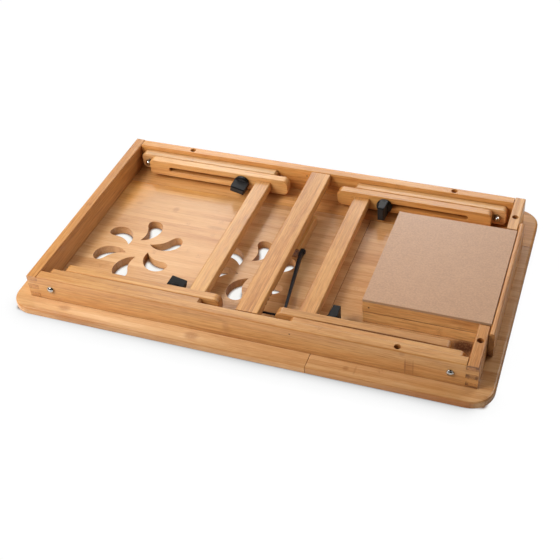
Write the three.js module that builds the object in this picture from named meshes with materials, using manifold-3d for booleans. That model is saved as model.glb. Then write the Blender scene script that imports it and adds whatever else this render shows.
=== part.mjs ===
// Folding tray table of bamboo, lying on its top with the legs folded, as it is stored.
//
// Millimetres, +Z up. The origin is at the middle of the top's outer face, which lies on z = 0,
// so +Z points at what is the underside when the table stands. X runs along the table with the
// drawer at +X, and +Y points at the user's side, where the tilting board is hinged.

import * as THREE from 'three';
import { mergeVertices } from 'three/addons/utils/BufferGeometryUtils.js';
import Module from 'manifold-3d';

const wasm = await Module();
wasm.setup();

// ---------------------------------------------------------------------------------------------
// Driving dimensions
// ---------------------------------------------------------------------------------------------

// Fits
const JOINT_GAP = 0.3;              // glue lines, and pieces screwed face to face
const HOLE_CLEARANCE = 0.3;         // all round a bolt, screw or pin
const SEAM_GAP = 0.5;               // between the tilting board and the boards beside it

// Table top
const TOP_LENGTH = 553.5;
const TOP_DEPTH = 328;
const TOP_THICKNESS = 10;
const TOP_CORNER_RADIUS = 26;
const TOP_EDGE_ROUND = 2.5;
const FRONT_STRIP_DEPTH = 69.5;
const TILTING_BOARD_LENGTH = 358;

// Petal vents, cut through the tilting board
const FLOWER_PETALS = 6;
const FLOWER_SPACING = 145;         // between the two flowers
const FLOWER_INSET_X = 102.5;       // first flower's centre, from the board's left edge
const FLOWER_INSET_Y = 131.5;       // flowers' centres, from the board's rear edge
const FLOWER_RADIUS = 54;
const PETAL_TIP = [-0.074, 0.278];  // near the flower's centre, in flower radii like the rest
const PETAL_FULL_FLANK = [[0.12, 0.315], [0.306, 0.537], [0.25, 0.787]];
const PETAL_OUTER_END = [[0.213, 0.935], [0.093, 1.009], [-0.019, 1]];
const PETAL_SHOULDER = [[-0.139, 0.991], [-0.176, 0.889], [-0.111, 0.769]];
const PETAL_HOLLOW_FLANK = [[-0.019, 0.611], [0, 0.472], PETAL_TIP];

// Frame
const LEFT_OVERHANG = 20.5;         // of the top, beyond the frame
const RIGHT_OVERHANG = 18;
const REAR_OVERHANG = 20.5;
const FRONT_OVERHANG = 19.5;
const RAIL_HEIGHT = 30.7;
const RAIL_THICKNESS = 12.5;
const RAIL_ROUND = 1.6;             // along the edges that face away from the top
const CORNER_FINGERS = 5;           // fingers of both pieces together, odd
const END_BLOCK_LENGTH = 61;
const DIVIDER_WIDTH = 25.5;
const DIVIDER_THICKNESS = 10.5;
const DIVIDER_OFFSET = 5;           // of its centre line from the middle of the frame

// Screws that hold the frame to the top
const TOP_SCREW_HEAD_RADIUS = 3.4;
const TOP_SCREW_RADIUS = 1.9;
const TOP_SCREW_SEAT = 15;          // depth of the counterbore
const TOP_SCREW_BITE = 6;           // length in the board
const RAIL_SCREW_OFFSET = 172.5;    // along the long rails, from the middle
const BLOCK_SCREW_INSET = 38;       // along the end blocks, from the frame's corner

// Legs
const PIVOT_INSET = 28.5;           // from the frame's end
const LEG_WIDTH = 21;
const LEG_THICKNESS = 11;
const LEG_ARRIS = 0.8;
const LEG_GAP = 0.5;                // beside a leg member
const OUTER_LEG_REACH = 177;        // pivot to the free end
const INNER_LEG_REACH = 196.5;      // pivot to the foot, retracted
const FOOT_ROUND = 7;
const LEG_END_ROUND = 5.5;          // of both members beside the pivot
const KNOB_REACH = 135.5;           // pivot to the clamping bolt
const LEG_TRAVEL = 99.5;            // between the ends of the slot, for the bolt's centre
const KNOB_TO_CROSSBAR = 9.4;       // from the clamping knob's collar to the bar
const CROSSBAR_WIDTH = 20;
const CROSSBAR_THICKNESS = 11;
const TENON_WIDTH = 12;
const TENON_THICKNESS = 6;
const TENON_LENGTH = 6;

// Bolts, nuts and clamping knobs of the legs
const BOLT_RADIUS = 2.5;
const BOLT_HEAD_RADIUS = 4.4;
const BOLT_HEAD_HEIGHT = 2.6;
const BOLT_IN_NUT = 4;
const NUT_RADIUS = 4.6;             // across the corners
const NUT_HEX_HEIGHT = 3.2;
const NUT_DOME_RADIUS = 3.7;
const NUT_HEIGHT = 6.6;
const NUT_TO_INNER_LEG = 0.8;       // legs retracted
const CLAMP_HEAD_RADIUS = 5.5;
const CLAMP_HEAD_HEIGHT = 2;
const CLAMP_IN_KNOB = 9;
const KNOB_COLLAR_RADIUS = 9.6;
const KNOB_COLLAR_HEIGHT = 6;
const KNOB_LENGTH = 20.2;
const KNOB_BLADE_WIDTH = 18.4;
const KNOB_BLADE_ROOT = 10.5;       // blade thickness at the collar
const KNOB_BLADE_TIP = 7.8;         // blade thickness at the end
const LEFT_KNOB_TURN = 14;          // degrees, as the knobs were left
const RIGHT_KNOB_TURN = 90;

// Hinges of the tilting board
const HINGE_LENGTH = 38;
const HINGE_LEAF_WIDTH = 11;        // from the hinge's axis
const HINGE_LEAF_THICKNESS = 1;
const HINGE_AXIS_HEIGHT = 2.8;
const KNUCKLE_RADIUS = 2.2;
const HINGE_PIN_RADIUS = 0.9;
const SEAM_NOSE_RADIUS = 3.4;       // hollow along the seam, round the hinge's axis
const HINGE_INSET = 55;             // hinge's middle, from each end of the tilting board

// Prop stay of the tilting board
const PROP_BLOCK_WIDTH = 10;
const PROP_BLOCK_HEIGHT = 13;
const PROP_BLOCK_LENGTH = 68;
const PROP_BLOCK_INSET = 166.5;     // its rear end, from the board's rear edge
const PROP_PIVOT_INSET = 6;         // the stay's screw, from the block's rear end
const PROP_PIVOT_RISE = 5.25;       // the stay's screw, from the block's foot
const STAY_LENGTH = 116;            // screw to the outer side of its foot
const STAY_HEIGHT = 8;
const STAY_THICKNESS = 3.6;
const STAY_SPLAY = 16;              // the bend carries the free end this far from the block
const STAY_FOOT = 31;               // turned in at the free end
const STAY_GAP = 0.5;
const STAY_SCREW_RADIUS = 1.8;
const STAY_SCREW_HEAD_RADIUS = 2.8;
const STAY_SCREW_HEAD_HEIGHT = 1.2;
const STAY_SCREW_BITE = 6;
const PROP_NOTCH_COUNT = 4;
const PROP_NOTCH_PITCH = 8;
const PROP_NOTCH_DEPTH = 2.5;
const PROP_NOTCH_WIDTH = 4.5;
const PROP_NOTCH_LENGTH = 13;       // in from the divider's edge
const PROP_NOTCH_INSET = 20.8;      // first notch, from the rear rail's inner face

// Drawer and its runners
const DRAWER_SIDE_GAP = 3;          // to the end block, each side
const DRAWER_LENGTH = 139;          // behind the drawer front
const DRAWER_WALL = 10;
const DRAWER_BACK_THICKNESS = 8;
const DRAWER_BOTTOM_THICKNESS = 3;
const DRAWER_PROUD = 1;             // of the drawer's bottom, out of the frame
const DRAWER_TOP_GAP = 2;           // between the drawer's rim and the table top
const DRAWER_FRONT_THICKNESS = 6;
const DRAWER_FRONT_ROUND = 2.6;     // along its edges that face away from the top
const DRAWER_FRONT_OVERLAP = 12;    // over each end block
const DRAWER_FRONT_GAP = 0.5;       // to the end blocks, drawer shut
const DRAWER_FRONT_MARGIN = 1;      // from the table top
const RUNNER_HEIGHT = 13.6;
const RUNNER_THICKNESS = 6;
const RUNNER_END_INSET = 2.5;       // from the frame's end
const TONGUE_DEPTH = 3;
const TONGUE_HEIGHT = 3.4;
const SLIDE_GAP = 0.4;              // drawer to runner

// Facets
const ARC_STEPS = 3;                // of a small arc in an outline
const LEG_ARC_STEPS = 4;            // of each rounded corner of a leg's end
const WIDE_ARC_STEPS = 5;           // of a corner of the top
const PETAL_STEPS = 8;              // of each curve in a petal's outline
const ROUND_STEPS = 20;             // of a lathed piece or a wide hole
const SMALL_ROUND_STEPS = 14;       // of a screw's shank or a narrow hole

// ---------------------------------------------------------------------------------------------
// Places worked out from the dimensions
// ---------------------------------------------------------------------------------------------

// Pieces are placed with x = 0 at the middle of the frame; the whole table is moved at the end so
// that the middle of the top is at the origin.
const FRAME_LENGTH = TOP_LENGTH - LEFT_OVERHANG - RIGHT_OVERHANG;
const FRAME_DEPTH = TOP_DEPTH - REAR_OVERHANG - FRONT_OVERHANG;
const FRAME_HALF = FRAME_LENGTH / 2;

const TOP_LEFT = -FRAME_HALF - LEFT_OVERHANG;
const TOP_RIGHT = FRAME_HALF + RIGHT_OVERHANG;
const TOP_REAR = -TOP_DEPTH / 2;
const TOP_FRONT = TOP_DEPTH / 2;
const HINGE_SEAM_Y = TOP_FRONT - FRONT_STRIP_DEPTH;
const CROSS_SEAM_X = TOP_LEFT + TILTING_BOARD_LENGTH;

const FRAME_REAR = TOP_REAR + REAR_OVERHANG;
const FRAME_FRONT = FRAME_REAR + FRAME_DEPTH;
const FRAME_MIDDLE = (FRAME_REAR + FRAME_FRONT) / 2;
const FRAME_LOW = TOP_THICKNESS + JOINT_GAP;
const FRAME_HIGH = FRAME_LOW + RAIL_HEIGHT;
const FINGER_HEIGHT = RAIL_HEIGHT / CORNER_FINGERS;
const RAIL_INNER_REAR = FRAME_REAR + RAIL_THICKNESS;
const RAIL_INNER_FRONT = FRAME_FRONT - RAIL_THICKNESS;
const DIVIDER_HIGH_EDGE_X = DIVIDER_OFFSET + DIVIDER_WIDTH / 2;

const PIVOT_X = FRAME_HALF - PIVOT_INSET;
const PIVOT_Z = FRAME_LOW + RAIL_HEIGHT / 2;
const OUTER_LEG_Y = FRAME_DEPTH / 2 - RAIL_THICKNESS - LEG_GAP;
const INNER_LEG_Y = OUTER_LEG_Y - LEG_THICKNESS - LEG_GAP;
const INNER_LEG_FACE_Y = INNER_LEG_Y - LEG_THICKNESS;
const INNER_LEG_START = NUT_RADIUS + NUT_TO_INNER_LEG;
const SLOT_START = KNOB_REACH - LEG_TRAVEL;
const CROSSBAR_REACH = KNOB_REACH + KNOB_COLLAR_RADIUS + KNOB_TO_CROSSBAR + CROSSBAR_WIDTH / 2;

const DRAWER_REAR = FRAME_REAR + END_BLOCK_LENGTH + DRAWER_SIDE_GAP;
const DRAWER_FRONT_SIDE = FRAME_FRONT - END_BLOCK_LENGTH - DRAWER_SIDE_GAP;
const DRAWER_FACE_X = FRAME_HALF + DRAWER_FRONT_GAP;
const DRAWER_BACK_X = DRAWER_FACE_X - DRAWER_LENGTH;
const DRAWER_LOW = TOP_THICKNESS + DRAWER_TOP_GAP;
const DRAWER_HIGH = FRAME_HIGH + DRAWER_PROUD;
const DRAWER_WALL_HIGH = DRAWER_HIGH - DRAWER_BOTTOM_THICKNESS - JOINT_GAP;
const RUNNER_LOW = TOP_THICKNESS + JOINT_GAP;
const RUNNER_HIGH = RUNNER_LOW + RUNNER_HEIGHT;
const TONGUE_MIDDLE_Z = (DRAWER_LOW + RUNNER_HIGH) / 2;

// ---------------------------------------------------------------------------------------------
// Materials
// ---------------------------------------------------------------------------------------------

const FINISHES = {
  bamboo: { color: 0xd9a871, roughness: 0.55, metalness: 0 },
  bamboo_end: { color: 0xc8935c, roughness: 0.6, metalness: 0 },
  hardboard: { color: 0xc9a98c, roughness: 0.8, metalness: 0 },
  black_plastic: { color: 0x303236, roughness: 0.45, metalness: 0 },
  black_steel: { color: 0x1c1c1f, roughness: 0.5, metalness: 0.6 },
  bright_steel: { color: 0xc4c6c9, roughness: 0.25, metalness: 1 },
  brass: { color: 0xb8945a, roughness: 0.35, metalness: 1 },
};

// ---------------------------------------------------------------------------------------------
// Shapes
// ---------------------------------------------------------------------------------------------

// A closed geometry as a solid that can be joined and cut.
function solidFrom(geometry) {
  const bare = geometry.clone();
  bare.deleteAttribute('normal');
  bare.deleteAttribute('uv');
  const merged = mergeVertices(bare, 1e-4);
  return new wasm.Manifold(new wasm.Mesh({
    numProp: 3,
    vertProperties: new Float32Array(merged.attributes.position.array),
    triVerts: new Uint32Array(merged.index.array),
  }));
}

function geometryFrom(solid) {
  const mesh = solid.getMesh();
  const geometry = new THREE.BufferGeometry();
  geometry.setAttribute('position', new THREE.BufferAttribute(mesh.vertProperties.slice(), 3));
  geometry.setIndex(new THREE.BufferAttribute(mesh.triVerts.slice(), 1));
  geometry.computeVertexNormals();
  return geometry;
}

// A block between two corners.
function block(low, high) {
  const size = high.map((value, i) => value - low[i]);
  const geometry = new THREE.BoxGeometry(...size);
  geometry.translate(...high.map((value, i) => (value + low[i]) / 2));
  return solidFrom(geometry);
}

// A prism of a shape drawn in XY, from z = 0 up, with its edges chamfered or rounded.
function prism(shape, height, { arris = 0, arrisSteps = 1, arcSteps = ARC_STEPS } = {}) {
  const geometry = new THREE.ExtrudeGeometry(shape, {
    depth: height - 2 * arris,
    bevelEnabled: arris > 0,
    bevelThickness: arris,
    bevelSize: arris,
    bevelOffset: -arris,
    bevelSegments: arrisSteps,
    curveSegments: arcSteps,
  });
  geometry.translate(0, 0, arris);
  return geometry;
}

// The axes that a prism's X, Y and height turn to.
function turned(geometry, xTo, yTo, heightTo) {
  const matrix = new THREE.Matrix4().makeBasis(
    new THREE.Vector3(...xTo),
    new THREE.Vector3(...yTo),
    new THREE.Vector3(...heightTo),
  );
  return geometry.applyMatrix4(matrix);
}

// A rod along X, Y or Z, from one value to another, centred on the other two axes' values.
function rod(axis, radius, from, to, centre, steps = ROUND_STEPS) {
  const geometry = new THREE.CylinderGeometry(radius, radius, to - from, steps);
  geometry.translate(0, (from + to) / 2, 0);
  if (axis === 'x') {
    geometry.rotateZ(-Math.PI / 2);
    geometry.translate(0, centre[0], centre[1]);
  } else if (axis === 'y') {
    geometry.translate(centre[0], 0, centre[1]);
  } else {
    geometry.rotateX(Math.PI / 2);
    geometry.translate(centre[0], centre[1], 0);
  }
  return solidFrom(geometry);
}

function cutAll(solid, cuts) {
  return cuts.reduce((rest, cut) => rest.subtract(cut), solid);
}

function joinAll(solids) {
  return solids.reduce((whole, next) => whole.add(next));
}

function roundedRectangle(x0, x1, y0, y1, radius) {
  const shape = new THREE.Shape();
  shape.absarc(x1 - radius, y0 + radius, radius, -Math.PI / 2, 0);
  shape.absarc(x1 - radius, y1 - radius, radius, 0, Math.PI / 2);
  shape.absarc(x0 + radius, y1 - radius, radius, Math.PI / 2, Math.PI);
  shape.absarc(x0 + radius, y0 + radius, radius, Math.PI, 3 * Math.PI / 2);
  shape.closePath();
  return shape;
}

function polygon(points) {
  return new THREE.Shape(points.map(([x, y]) => new THREE.Vector2(x, y)));
}

const model = new THREE.Group();
const table = new THREE.Group();
table.position.set(-(TOP_LEFT + TOP_RIGHT) / 2, 0, 0);
model.add(table);

// Adds a piece to a group, at a position in that group.
function addPiece(group, name, solid, finish, position = [0, 0, 0], rotation = [0, 0, 0]) {
  const material = new THREE.MeshStandardMaterial({ ...FINISHES[finish], flatShading: true });
  const mesh = new THREE.Mesh(geometryFrom(solid), material);
  mesh.name = name;
  mesh.position.set(...position);
  mesh.rotation.set(...rotation);
  group.add(mesh);
  return mesh;
}

// ---------------------------------------------------------------------------------------------
// Screws that hold the frame to the top
// ---------------------------------------------------------------------------------------------

const SCREW_PLACES = [
  ['top_screw_front_left', -RAIL_SCREW_OFFSET, FRAME_FRONT - RAIL_THICKNESS / 2],
  ['top_screw_front_right', RAIL_SCREW_OFFSET, FRAME_FRONT - RAIL_THICKNESS / 2],
  ['top_screw_rear', RAIL_SCREW_OFFSET, FRAME_REAR + RAIL_THICKNESS / 2],
  ['top_screw_rear_block', FRAME_HALF - RAIL_THICKNESS / 2, FRAME_REAR + BLOCK_SCREW_INSET],
  ['top_screw_front_block', FRAME_HALF - RAIL_THICKNESS / 2, FRAME_FRONT - BLOCK_SCREW_INSET],
];

// The counterbored holes in the frame and the blind holes in the top.
function screwHoles() {
  return SCREW_PLACES.flatMap(([, x, y]) => [
    rod('z', TOP_SCREW_HEAD_RADIUS + HOLE_CLEARANCE, FRAME_HIGH - TOP_SCREW_SEAT, FRAME_HIGH + 1, [x, y]),
    rod('z', TOP_SCREW_RADIUS + HOLE_CLEARANCE, TOP_THICKNESS - TOP_SCREW_BITE - HOLE_CLEARANCE,
      FRAME_HIGH - TOP_SCREW_SEAT + 1, [x, y], SMALL_ROUND_STEPS),
  ]);
}

// A countersunk screw: its head sits on the floor of the counterbore.
function addTopScrews() {
  const seat = FRAME_HIGH - TOP_SCREW_SEAT + JOINT_GAP;
  const headHeight = TOP_SCREW_HEAD_RADIUS - TOP_SCREW_RADIUS;
  const tip = TOP_THICKNESS - TOP_SCREW_BITE;
  for (const [name, x, y] of SCREW_PLACES) {
    const profile = [
      [0, tip],
      [TOP_SCREW_RADIUS * 0.7, tip + 1],
      [TOP_SCREW_RADIUS, tip + 3],
      [TOP_SCREW_RADIUS, seat],
      [TOP_SCREW_HEAD_RADIUS, seat + headHeight],
      [TOP_SCREW_HEAD_RADIUS, seat + headHeight + 0.6],
      [0, seat + headHeight + 0.6],
    ].map(([radius, z]) => new THREE.Vector2(radius, z));
    const screw = new THREE.LatheGeometry(profile, SMALL_ROUND_STEPS).rotateX(Math.PI / 2);
    addPiece(table, name, solidFrom(screw), 'bright_steel', [x, y, 0]);
  }
}

// ---------------------------------------------------------------------------------------------
// Table top
// ---------------------------------------------------------------------------------------------

// One petal: pointed near the flower's centre, with a hollow flank, a full flank and a round end.
function petalShape() {
  const inRadii = (points) => points.flat().map((value) => value * FLOWER_RADIUS);
  const petal = new THREE.Shape();
  petal.moveTo(...inRadii(PETAL_TIP));
  for (const curve of [PETAL_FULL_FLANK, PETAL_OUTER_END, PETAL_SHOULDER, PETAL_HOLLOW_FLANK]) {
    petal.bezierCurveTo(...inRadii(curve));
  }
  return petal;
}

function flowerCuts(x, y) {
  const cuts = [];
  for (let i = 0; i < FLOWER_PETALS; i += 1) {
    const petal = prism(petalShape(), TOP_THICKNESS + 2, { arcSteps: PETAL_STEPS });
    petal.rotateZ((i * 2 * Math.PI) / FLOWER_PETALS);
    petal.translate(x, y, -1);
    cuts.push(solidFrom(petal));
  }
  return cuts;
}

// The hollow that the tilting board's edge turns in.
function seamHollow() {
  return rod('x', SEAM_NOSE_RADIUS, TOP_LEFT - 1, CROSS_SEAM_X, [HINGE_SEAM_Y, HINGE_AXIS_HEIGHT]);
}

const HINGE_PLACES = [
  ['left', TOP_LEFT + HINGE_INSET],
  ['right', CROSS_SEAM_X - HINGE_INSET],
];

// Recess for both leaves of each hinge.
function hingeRecesses() {
  const width = HINGE_LEAF_WIDTH + JOINT_GAP;
  const half = HINGE_LENGTH / 2 + JOINT_GAP;
  const depth = HINGE_AXIS_HEIGHT - KNUCKLE_RADIUS + HINGE_LEAF_THICKNESS + JOINT_GAP;
  return HINGE_PLACES.map(([, x]) => block(
    [x - half, HINGE_SEAM_Y - width, -1],
    [x + half, HINGE_SEAM_Y + width, depth],
  ));
}

function addTop() {
  const outline = roundedRectangle(TOP_LEFT, TOP_RIGHT, TOP_REAR, TOP_FRONT, TOP_CORNER_RADIUS);
  const slab = solidFrom(prism(outline, TOP_THICKNESS, {
    arris: TOP_EDGE_ROUND,
    arrisSteps: 3,
    arcSteps: WIDE_ARC_STEPS,
  }));
  const half = SEAM_GAP / 2;
  const high = TOP_THICKNESS + 1;
  const strip = block([TOP_LEFT - 1, HINGE_SEAM_Y + half, -1], [TOP_RIGHT + 1, TOP_FRONT + 1, high]);
  const left = block([TOP_LEFT - 1, TOP_REAR - 1, -1], [CROSS_SEAM_X - half, HINGE_SEAM_Y - half, high]);
  const right = block([CROSS_SEAM_X + half, TOP_REAR - 1, -1], [TOP_RIGHT + 1, HINGE_SEAM_Y - half, high]);
  const holes = screwHoles();
  const hinges = [seamHollow(), ...hingeRecesses()];
  const vents = [0, FLOWER_SPACING].flatMap((offset) => flowerCuts(
    TOP_LEFT + FLOWER_INSET_X + offset,
    TOP_REAR + FLOWER_INSET_Y,
  ));
  addPiece(table, 'front_strip', cutAll(slab.intersect(strip), [...holes, ...hinges]), 'bamboo');
  addPiece(table, 'fixed_top', cutAll(slab.intersect(right), holes), 'bamboo');
  addPiece(table, 'tilting_top', cutAll(slab.intersect(left), [...hinges, ...vents]), 'bamboo');
}

// ---------------------------------------------------------------------------------------------
// Frame
// ---------------------------------------------------------------------------------------------

// A rail's cross-section, centred in width, with the two edges away from the top rounded.
function railSection(width, height, round) {
  const half = width / 2;
  const shape = new THREE.Shape();
  shape.moveTo(-half, 0);
  shape.lineTo(half, 0);
  shape.absarc(half - round, height - round, round, 0, Math.PI / 2);
  shape.absarc(-half + round, height - round, round, Math.PI / 2, Math.PI);
  shape.closePath();
  return shape;
}

function railAlongX(x0, x1, y, width, low, high, round = RAIL_ROUND) {
  const bar = turned(prism(railSection(width, high - low, round), x1 - x0), [0, 1, 0], [0, 0, 1], [1, 0, 0]);
  return solidFrom(bar.translate(x0, y, low));
}

function railAlongY(y0, y1, x, width, low, high, round = RAIL_ROUND) {
  const bar = turned(prism(railSection(width, high - low, round), y1 - y0), [-1, 0, 0], [0, 0, 1], [0, 1, 0]);
  return solidFrom(bar.translate(x, y0, low));
}

// Slots at one corner of the frame for every second finger: the end rails and blocks keep the
// even ones, the long rails the odd ones.
function fingerSlots(sideX, sideY, keepsEven) {
  const inX = sideX * (FRAME_HALF - RAIL_THICKNESS - JOINT_GAP);
  const inY = FRAME_MIDDLE + sideY * (FRAME_DEPTH / 2 - RAIL_THICKNESS - JOINT_GAP);
  const outX = sideX * (FRAME_HALF + 1);
  const outY = FRAME_MIDDLE + sideY * (FRAME_DEPTH / 2 + 1);
  const slots = [];
  for (let i = keepsEven ? 1 : 0; i < CORNER_FINGERS; i += 2) {
    const first = i === 0 ? 1 : JOINT_GAP / 2;
    const last = i === CORNER_FINGERS - 1 ? 1 : JOINT_GAP / 2;
    slots.push(block(
      [Math.min(inX, outX), Math.min(inY, outY), FRAME_LOW + i * FINGER_HEIGHT - first],
      [Math.max(inX, outX), Math.max(inY, outY), FRAME_LOW + (i + 1) * FINGER_HEIGHT + last],
    ));
  }
  return slots;
}

// Holes in the long rails for the leg pivots.
function pivotHoles() {
  return [-PIVOT_X, PIVOT_X].map((x) => rod('y', BOLT_RADIUS + HOLE_CLEARANCE,
    FRAME_REAR - 1, FRAME_FRONT + 1, [x, PIVOT_Z]));
}

// Notches across the divider's face towards the top, where the stay's foot bears.
function propNotches() {
  const low = FRAME_HIGH - DIVIDER_THICKNESS;
  const notches = [];
  for (let i = 0; i < PROP_NOTCH_COUNT; i += 1) {
    const y = RAIL_INNER_REAR + PROP_NOTCH_INSET + i * PROP_NOTCH_PITCH;
    notches.push(block(
      [DIVIDER_HIGH_EDGE_X - PROP_NOTCH_LENGTH, y, low - 1],
      [DIVIDER_HIGH_EDGE_X + 1, y + PROP_NOTCH_WIDTH, low + PROP_NOTCH_DEPTH],
    ));
  }
  return notches;
}

function addFrame() {
  const holes = [...screwHoles(), ...pivotHoles()];
  const middle = RAIL_THICKNESS / 2;
  for (const [name, side] of [['rear_rail', -1], ['front_rail', 1]]) {
    const y = FRAME_MIDDLE + side * (FRAME_DEPTH / 2 - middle);
    const rail = railAlongX(-FRAME_HALF, FRAME_HALF, y, RAIL_THICKNESS, FRAME_LOW, FRAME_HIGH);
    const slots = [...fingerSlots(-1, side, false), ...fingerSlots(1, side, false)];
    addPiece(table, name, cutAll(rail, [...slots, ...holes]), 'bamboo');
  }
  const leftRail = railAlongY(FRAME_REAR, FRAME_FRONT, middle - FRAME_HALF, RAIL_THICKNESS,
    FRAME_LOW, FRAME_HIGH);
  const leftSlots = [...fingerSlots(-1, -1, true), ...fingerSlots(-1, 1, true)];
  addPiece(table, 'left_rail', cutAll(leftRail, leftSlots), 'bamboo');
  const blocks = [
    ['rear_end_block', -1, FRAME_REAR, FRAME_REAR + END_BLOCK_LENGTH],
    ['front_end_block', 1, FRAME_FRONT - END_BLOCK_LENGTH, FRAME_FRONT],
  ];
  for (const [name, side, y0, y1] of blocks) {
    const bar = railAlongY(y0, y1, FRAME_HALF - middle, RAIL_THICKNESS, FRAME_LOW, FRAME_HIGH);
    addPiece(table, name, cutAll(bar, [...fingerSlots(1, side, true), ...screwHoles()]), 'bamboo');
  }
  const divider = railAlongY(RAIL_INNER_REAR + JOINT_GAP, RAIL_INNER_FRONT - JOINT_GAP,
    DIVIDER_OFFSET, DIVIDER_WIDTH, FRAME_HIGH - DIVIDER_THICKNESS, FRAME_HIGH);
  addPiece(table, 'divider', cutAll(divider, propNotches()), 'bamboo');
}

// ---------------------------------------------------------------------------------------------
// Legs. One leg frame is made about its pivot line, with its feet towards +X; the right one is
// the same frame turned half round.
// ---------------------------------------------------------------------------------------------

function stadium(x0, x1, radius) {
  const path = new THREE.Path();
  path.absarc(x1, 0, radius, -Math.PI / 2, Math.PI / 2);
  path.absarc(x0, 0, radius, Math.PI / 2, 3 * Math.PI / 2);
  path.closePath();
  return path;
}

// Lays a leg outline, drawn along X, with its thickness from y = 0 towards +Y.
function legSolid(shape) {
  const flat = prism(shape, LEG_THICKNESS, { arris: LEG_ARRIS, arcSteps: LEG_ARC_STEPS });
  return solidFrom(turned(flat, [1, 0, 0], [0, 0, -1], [0, 1, 0]));
}

// Outer member: round about its pivot, square with broken corners at its free end. Its y = 0 face
// is the one beside the rail, where the clamping bolt's head is let in.
function outerLeg() {
  const half = LEG_WIDTH / 2;
  const corner = half / 4;
  const shape = new THREE.Shape();
  shape.moveTo(OUTER_LEG_REACH - corner, -half);
  shape.lineTo(OUTER_LEG_REACH, -half + corner);
  shape.lineTo(OUTER_LEG_REACH, half - corner);
  shape.lineTo(OUTER_LEG_REACH - corner, half);
  shape.absarc(LEG_END_ROUND - half, half - LEG_END_ROUND, LEG_END_ROUND, Math.PI / 2, Math.PI);
  shape.absarc(LEG_END_ROUND - half, LEG_END_ROUND - half, LEG_END_ROUND, Math.PI, 3 * Math.PI / 2);
  shape.closePath();
  const across = LEG_THICKNESS + 1;
  return cutAll(legSolid(shape), [
    rod('y', BOLT_RADIUS + HOLE_CLEARANCE, -1, across, [0, 0]),
    rod('y', BOLT_RADIUS + HOLE_CLEARANCE, -1, across, [KNOB_REACH, 0]),
    rod('y', CLAMP_HEAD_RADIUS + HOLE_CLEARANCE, -1, CLAMP_HEAD_HEIGHT + 2 * HOLE_CLEARANCE,
      [KNOB_REACH, 0]),
  ]);
}

// Inner member: slotted for the clamping bolt, with a well rounded foot and a mortise for the
// cross bar in the face away from the rail.
function innerLeg() {
  const half = LEG_WIDTH / 2;
  const round = LEG_END_ROUND;
  const shape = new THREE.Shape();
  shape.absarc(INNER_LEG_REACH - FOOT_ROUND, -half + FOOT_ROUND, FOOT_ROUND, -Math.PI / 2, 0);
  shape.absarc(INNER_LEG_REACH - FOOT_ROUND, half - FOOT_ROUND, FOOT_ROUND, 0, Math.PI / 2);
  shape.absarc(INNER_LEG_START + round, half - round, round, Math.PI / 2, Math.PI);
  shape.absarc(INNER_LEG_START + round, round - half, round, Math.PI, 3 * Math.PI / 2);
  shape.closePath();
  shape.holes.push(stadium(SLOT_START, KNOB_REACH, BOLT_RADIUS + HOLE_CLEARANCE));
  const mortise = block(
    [CROSSBAR_REACH - TENON_WIDTH / 2 - JOINT_GAP, LEG_THICKNESS - TENON_LENGTH - JOINT_GAP,
      -TENON_THICKNESS / 2 - JOINT_GAP],
    [CROSSBAR_REACH + TENON_WIDTH / 2 + JOINT_GAP, LEG_THICKNESS + 1, TENON_THICKNESS / 2 + JOINT_GAP],
  );
  return cutAll(legSolid(shape), [mortise]);
}

// Cross bar between the inner members, with a tenon at each end.
function crossbar() {
  const reach = INNER_LEG_FACE_Y - JOINT_GAP;
  const outline = roundedRectangle(-CROSSBAR_WIDTH / 2, CROSSBAR_WIDTH / 2,
    -CROSSBAR_THICKNESS / 2, CROSSBAR_THICKNESS / 2, RAIL_ROUND);
  const bar = turned(prism(outline, 2 * reach), [1, 0, 0], [0, 0, -1], [0, 1, 0]);
  const tongue = INNER_LEG_FACE_Y + TENON_LENGTH;
  return joinAll([
    solidFrom(bar.translate(0, -reach, 0)),
    block([-TENON_WIDTH / 2, -tongue, -TENON_THICKNESS / 2], [TENON_WIDTH / 2, tongue, TENON_THICKNESS / 2]),
  ]);
}

// A round solid about Y from a list of radius and y.
function lathed(profile, steps = ROUND_STEPS) {
  const points = profile.map(([radius, y]) => new THREE.Vector2(radius, y));
  return solidFrom(new THREE.LatheGeometry(points, steps));
}

// Pivot bolt: domed head outside the rail (y < 0), shank through the rail and the outer member.
function pivotBolt() {
  const seat = -JOINT_GAP;
  const end = RAIL_THICKNESS + LEG_GAP + LEG_THICKNESS + JOINT_GAP + BOLT_IN_NUT;
  return lathed([
    [0, seat - BOLT_HEAD_HEIGHT],
    [BOLT_HEAD_RADIUS * 0.55, seat - BOLT_HEAD_HEIGHT * 0.85],
    [BOLT_HEAD_RADIUS * 0.88, seat - BOLT_HEAD_HEIGHT * 0.5],
    [BOLT_HEAD_RADIUS, seat],
    [BOLT_RADIUS, seat],
    [BOLT_RADIUS, end - 0.5],
    [BOLT_RADIUS - 0.5, end],
    [0, end],
  ]);
}

// Cap nut: a hexagon with a dome over it, open towards the bolt at y = 0.
function capNut() {
  const dome = lathed([
    [0, 0],
    [NUT_DOME_RADIUS, 0],
    [NUT_DOME_RADIUS, NUT_HEX_HEIGHT],
    [NUT_DOME_RADIUS * 0.87, NUT_HEIGHT - 1.4],
    [NUT_DOME_RADIUS * 0.5, NUT_HEIGHT - 0.4],
    [0, NUT_HEIGHT],
  ]);
  const hexagon = rod('y', NUT_RADIUS, 0, NUT_HEX_HEIGHT, [0, 0], 6);
  const bore = rod('y', BOLT_RADIUS + HOLE_CLEARANCE, -1, BOLT_IN_NUT + HOLE_CLEARANCE, [0, 0]);
  return dome.add(hexagon).subtract(bore);
}

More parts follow.
